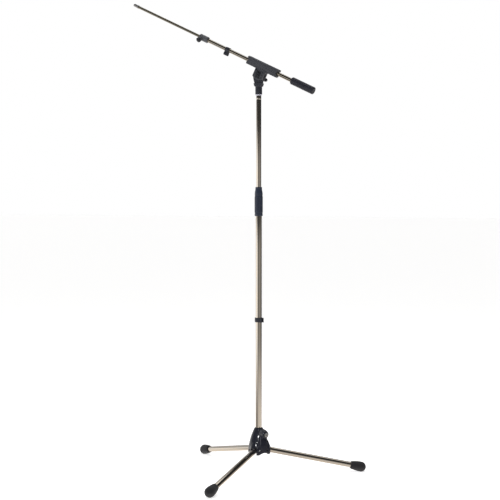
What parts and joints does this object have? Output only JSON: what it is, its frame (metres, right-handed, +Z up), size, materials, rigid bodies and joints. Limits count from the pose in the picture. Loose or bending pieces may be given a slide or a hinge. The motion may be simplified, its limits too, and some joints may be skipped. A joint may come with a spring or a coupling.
{
  "type": "boom microphone stand",
  "caption": "Boom microphone stand: folding tripod base, two-part mast with a twist clutch, and a tilting telescopic boom with a counterweight.",
  "frame": {"origin": "on the floor on the mast's axis, the centre of the circle of the three feet", "axes": "+Z up along the mast; the boom lies over the XZ plane with its tip towards -X; the tilt axis is parallel to Y"},
  "size_m": [0.7548, 0.5295, 1.5109],
  "materials": {
    "black_enamel": "gloss black enamel on a zinc casting",
    "nickel": "nickel plate, slightly warm",
    "steel": "bright zinc plate",
    "zinc": "raw cast zinc",
    "rubber": "matte black rubber",
    "black_plastic": "fine-grained black plastic",
    "grip": "blue-black soft plastic",
    "nylon": "natural nylon",
    "pale_nylon": "pale nylon",
    "brass": "brass",
    "weight_black": "matte black powder coat on steel",
    "black_steel": "blackened steel"
  },
  "bodies": {
    "base": {"base_casting": "black_enamel", "leg_pins": "steel", "clamp_pad": "nylon"},
    "leg_1": {"leg_knuckle_1": "zinc", "leg_tube_1": "nickel", "rubber_foot_1": "rubber"},
    "leg_2": {"leg_knuckle_2": "zinc", "leg_tube_2": "nickel", "rubber_foot_2": "rubber"},
    "leg_3": {"leg_knuckle_3": "zinc", "leg_tube_3": "nickel", "rubber_foot_3": "rubber"},
    "base_screw": {"clamp_screw": "nickel"},
    "lower_mast": {"mast_plug": "black_plastic", "lower_tube": "nickel", "clutch_core": "black_plastic", "clutch_collet": "nylon"},
    "clutch_grip": {"clutch_sleeve": "grip"},
    "mast_clip": {"mast_cable_clip": "black_plastic"},
    "mast_bush": {"guide_bush": "nylon"},
    "upper_mast": {"upper_tube": "nickel", "mast_stud": "steel", "stud_washer": "pale_nylon", "socket_insert": "brass", "swivel_head": "black_plastic"},
    "handle": {"tee_handle": "black_plastic"},
    "block": {"boom_block": "black_plastic", "pivot_bolt": "black_steel", "friction_washers": "nylon", "handle_washer": "steel"},
    "boom": {"boom_tube": "nickel", "counterweight": "weight_black", "weight_screw": "black_steel", "rod_clamp": "black_plastic", "clamp_shoe": "nylon"},
    "boom_clip": {"boom_cable_clip": "black_plastic"},
    "thumb_screw": {"thumb_screw": "black_plastic"},
    "rod_bush": {"rod_bush": "nylon"},
    "rod": {"inner_rod": "nickel", "tip_thread": "steel"}
  },
  "joints": [
    {"name": "leg_fold_1", "type": "hinge", "parent": "base", "child": "leg_1", "pos_m": [0.02278, 0.01253, 0.0774], "axis": [-0.4818, 0.8763, 0], "range_deg": [0, 78.4]},
    {"name": "leg_fold_2", "type": "hinge", "parent": "base", "child": "leg_2", "pos_m": [-0.02224, 0.01347, 0.0774], "axis": [-0.518, -0.8554, 0], "range_deg": [0, 78.4]},
    {"name": "leg_fold_3", "type": "hinge", "parent": "base", "child": "leg_3", "pos_m": [-0.00055, -0.02599, 0.0774], "axis": [0.9998, -0.0209, 0], "range_deg": [0, 78.4]},
    {"name": "mast_lift", "type": "slide", "parent": "base", "child": "lower_mast", "axis": [0, 0, 1], "range_m": [0, 0.024]},
    {"name": "clamp_screw_turn", "type": "hinge", "parent": "base", "child": "base_screw", "pos_m": [0.03422, -0.02072, 0.1292], "axis": [0.8554, -0.518, 0], "range_deg": [0, 360]},
    {"name": "clutch_twist", "type": "hinge", "parent": "lower_mast", "child": "clutch_grip", "pos_m": [0, 0, 0.86], "axis": [0, 0, 1], "range_deg": [0, 270]},
    {"name": "mast_clip_slide", "type": "slide", "parent": "lower_mast", "child": "mast_clip", "axis": [0, 0, 1], "range_m": [-0.33, 0.31]},
    {"name": "mast_extend", "type": "slide", "parent": "lower_mast", "child": "mast_bush", "axis": [0, 0, 1], "range_m": [-0.284, 0.41]},
    {"name": "mast_turn", "type": "hinge", "parent": "mast_bush", "child": "upper_mast", "pos_m": [0, 0, 1], "axis": [0, 0, 1], "continuous": true},
    {"name": "boom_tilt", "type": "hinge", "parent": "upper_mast", "child": "block", "pos_m": [0, 0, 1.25], "axis": [0, 1, 0], "range_deg": [-115.7, 64.2]},
    {"name": "tee_handle_turn", "type": "hinge", "parent": "block", "child": "handle", "pos_m": [0, 0.02, 1.25], "axis": [0, 1, 0], "range_deg": [0, 360]},
    {"name": "boom_slide", "type": "slide", "parent": "block", "child": "boom", "axis": [-0.9006, 0, 0.4346], "range_m": [-0.045, 0.045]},
    {"name": "boom_clip_slide", "type": "slide", "parent": "boom", "child": "boom_clip", "axis": [-0.9006, 0, 0.4346], "range_m": [-0.02, 0.065]},
    {"name": "thumb_screw_turn", "type": "hinge", "parent": "boom", "child": "thumb_screw", "pos_m": [-0.19971, 0, 1.38607], "axis": [-0.2493, -0.8192, -0.5166], "range_deg": [0, 360]},
    {"name": "rod_extend", "type": "slide", "parent": "boom", "child": "rod_bush", "axis": [-0.9006, 0, 0.4346], "range_m": [-0.243, 0.0645]},
    {"name": "rod_turn", "type": "hinge", "parent": "rod_bush", "child": "rod", "pos_m": [-0.34471, 0, 1.45604], "axis": [-0.9006, 0, 0.4346], "continuous": true}
  ],
  "couplings": [
    {"joint": "leg_fold_1", "follows": "mast_lift", "rad_per_m": 57},
    {"joint": "leg_fold_2", "follows": "mast_lift", "rad_per_m": 57},
    {"joint": "leg_fold_3", "follows": "mast_lift", "rad_per_m": 57}
  ]
}
